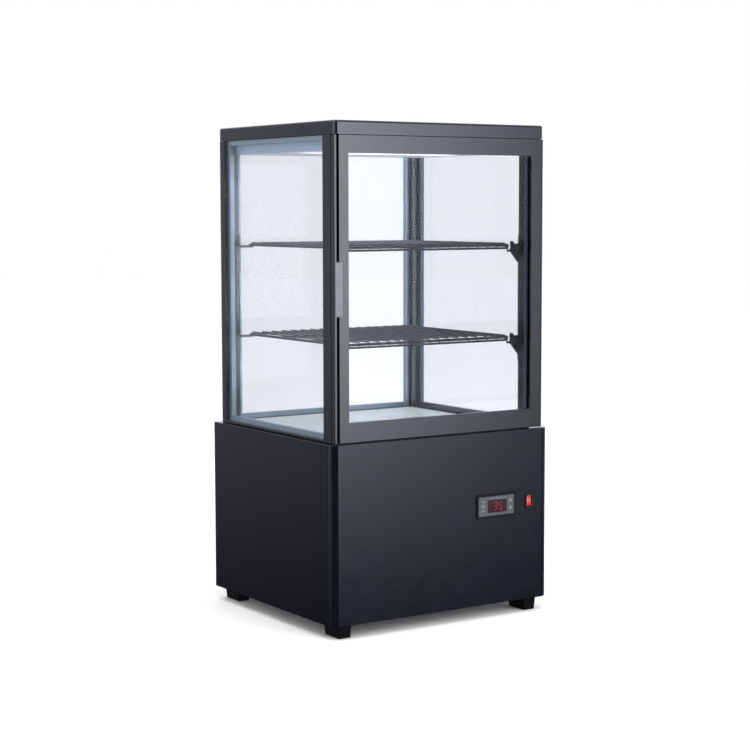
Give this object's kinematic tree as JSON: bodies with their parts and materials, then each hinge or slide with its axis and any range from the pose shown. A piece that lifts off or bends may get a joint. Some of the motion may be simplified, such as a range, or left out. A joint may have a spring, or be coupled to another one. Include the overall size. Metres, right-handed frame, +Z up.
{
  "type": "glass door merchandiser",
  "caption": "Countertop refrigerated display: glazed cabinet with hinged glass door and wire shelves over a closed machine base with controller and lit rocker switch.",
  "frame": {"origin": "middle of the footprint, on the surface that the feet stand on", "axes": "+Z up, +X to the viewer's right, +Y from the door to the back"},
  "size_m": [0.428, 0.386, 0.81],
  "materials": {
    "black_plastic": "satin",
    "fan_plastic": "matte",
    "black_sheet": "satin",
    "compressor_paint": "satin",
    "black_post": "satin",
    "plated_steel": "satin",
    "rubber": "matte",
    "coil_aluminium": "satin",
    "spacer_aluminium": "satin",
    "copper": "satin",
    "insulation": "matte",
    "grey_plastic": "matte",
    "white_plastic": "satin",
    "glass": "gloss",
    "button_plastic": "satin",
    "display_lens": "gloss",
    "red_lens": "gloss",
    "black_wire": "satin",
    "lamp_lens": "satin"
  },
  "bodies": {
    "cabinet": {"front_panel": "black_plastic", "controller_housing": "black_plastic", "switch_body": "black_plastic", "roof_cap": "black_plastic", "cabinet_base_frame": "black_plastic", "front_left_shelf_support": "black_plastic", "front_right_shelf_support": "black_plastic", "rear_left_shelf_support": "black_plastic", "rear_right_shelf_support": "black_plastic", "condenser_fan_housing": "fan_plastic", "evaporator_fan_housing": "fan_plastic", "left_side_panel": "black_sheet", "right_side_panel": "black_sheet", "rear_panel": "black_sheet", "compressor": "compressor_paint", "front_left_post": "black_post", "front_right_post": "black_post", "rear_left_post": "black_post", "rear_right_post": "black_post", "base_tray": "plated_steel", "upper_hinge": "plated_steel", "lower_hinge": "plated_steel", "front_left_foot": "rubber", "front_right_foot": "rubber", "rear_left_foot": "rubber", "rear_right_foot": "rubber", "cord_gland": "rubber", "condenser_coil": "coil_aluminium", "evaporator_coil": "coil_aluminium", "left_glass_spacer": "spacer_aluminium", "right_glass_spacer": "spacer_aluminium", "rear_glass_spacer": "spacer_aluminium", "discharge_pipe": "copper", "suction_pipe": "copper", "evaporator_housing": "insulation", "water_tray": "grey_plastic", "floor_panel": "white_plastic", "ceiling_liner": "white_plastic", "ceiling_lamp": "lamp_lens", "left_outer_pane": "glass", "left_inner_pane": "glass", "right_outer_pane": "glass", "right_inner_pane": "glass", "rear_outer_pane": "glass", "rear_inner_pane": "glass", "controller_display": "display_lens"},
    "door": {"door_frame": "black_plastic", "door_outer_pane": "glass", "door_glass_spacer": "spacer_aluminium", "door_inner_pane": "glass", "door_gasket": "rubber", "door_handle": "black_plastic"},
    "upper_shelf": {"upper_shelf": "black_wire"},
    "lower_shelf": {"lower_shelf": "black_wire"},
    "condenser_fan": {"condenser_fan_blade": "fan_plastic"},
    "evaporator_fan": {"evaporator_fan_blade": "fan_plastic"},
    "rocker": {"switch_rocker": "red_lens"},
    "set_button": {"set_button": "button_plastic"},
    "up_button": {"up_button": "button_plastic"},
    "down_button": {"down_button": "button_plastic"}
  },
  "joints": [
    {"name": "door_hinge", "type": "hinge", "parent": "cabinet", "child": "door", "pos_m": [0.198, -0.1805, 0.5493], "axis": [0, 0, 1], "range_deg": [0, 120]},
    {"name": "upper_shelf_lift", "type": "slide", "parent": "cabinet", "child": "upper_shelf", "axis": [0, 0, 1], "range_m": [0, 0.03]},
    {"name": "lower_shelf_lift", "type": "slide", "parent": "cabinet", "child": "lower_shelf", "axis": [0, 0, 1], "range_m": [0, 0.03]},
    {"name": "condenser_fan_spin", "type": "hinge", "parent": "cabinet", "child": "condenser_fan", "pos_m": [-0.085, 0.14, 0.12], "axis": [0, 1, 0], "continuous": true},
    {"name": "evaporator_fan_spin", "type": "hinge", "parent": "cabinet", "child": "evaporator_fan", "pos_m": [0.085, 0.02, 0.298], "axis": [0, 0, 1], "continuous": true},
    {"name": "rocker_tilt", "type": "hinge", "parent": "cabinet", "child": "rocker", "pos_m": [0.172, -0.1874, 0.1885], "axis": [1, 0, 0], "range_deg": [0, 14]},
    {"name": "set_button_press", "type": "slide", "parent": "cabinet", "child": "set_button", "axis": [0, 1, 0], "range_m": [0, 0.0008], "stiffness_N_per_m": 900, "springref_m": -0.0008},
    {"name": "up_button_press", "type": "slide", "parent": "cabinet", "child": "up_button", "axis": [0, 1, 0], "range_m": [0, 0.0008], "stiffness_N_per_m": 900, "springref_m": -0.0008},
    {"name": "down_button_press", "type": "slide", "parent": "cabinet", "child": "down_button", "axis": [0, 1, 0], "range_m": [0, 0.0008], "stiffness_N_per_m": 900, "springref_m": -0.0008}
  ]
}
